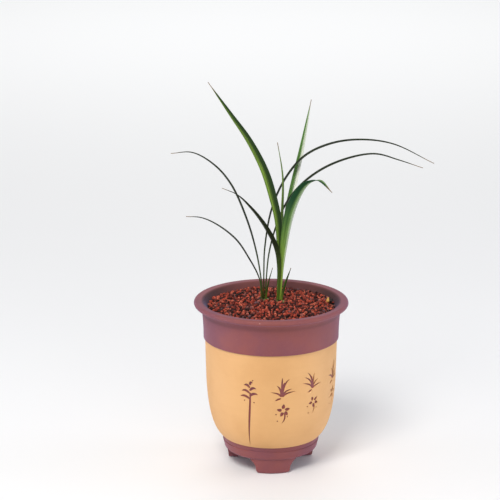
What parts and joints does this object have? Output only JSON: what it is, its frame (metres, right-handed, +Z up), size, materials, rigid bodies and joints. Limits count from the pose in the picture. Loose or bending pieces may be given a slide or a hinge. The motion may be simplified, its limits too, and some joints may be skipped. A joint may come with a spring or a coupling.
{
  "type": "potted orchid",
  "caption": "Small orchid with long narrow arching leaves, growing in red volcanic grit in a purple stoneware pot that has a rolled lip, a coat of yellow slip and short feet.",
  "frame": {"origin": "on the surface that the feet stand on, under the middle of the whole object's outer box; the pot's own axis is the vertical line at x = -0.0317 m, y = 0, because the leaves reach further to the +X side", "axes": "+Z up, -Y towards the viewer and the front foot, +X towards the side that the two longest leaves arch over"},
  "size_m": [0.2712, 0.16, 0.4058],
  "materials": {
    "purple_clay": "matte",
    "yellow_slip": "matte",
    "potsherd": "matte",
    "volcanic_grit": "matte",
    "root": "matte",
    "dark_leaf": "satin",
    "bright_leaf": "satin",
    "sheath_leaf": "satin",
    "pale_bark": "matte",
    "dead_stem": "matte"
  },
  "bodies": {
    "root": {"pot": "purple_clay", "slip_band": "yellow_slip", "drain_crock": "potsherd", "growing_medium": "volcanic_grit", "rootstock": "root", "left_growth_leaf_1": "dark_leaf", "left_growth_leaf_2": "dark_leaf", "left_growth_leaf_3": "dark_leaf", "left_growth_leaf_4": "dark_leaf", "left_growth_bract": "sheath_leaf", "right_growth_leaf_1": "bright_leaf", "right_growth_leaf_2": "bright_leaf", "right_growth_leaf_3": "bright_leaf", "right_growth_leaf_4": "bright_leaf", "right_growth_leaf_5": "bright_leaf", "right_growth_bract": "sheath_leaf", "bark_chip": "pale_bark", "twig": "dead_stem"}
  },
  "joints": []
}
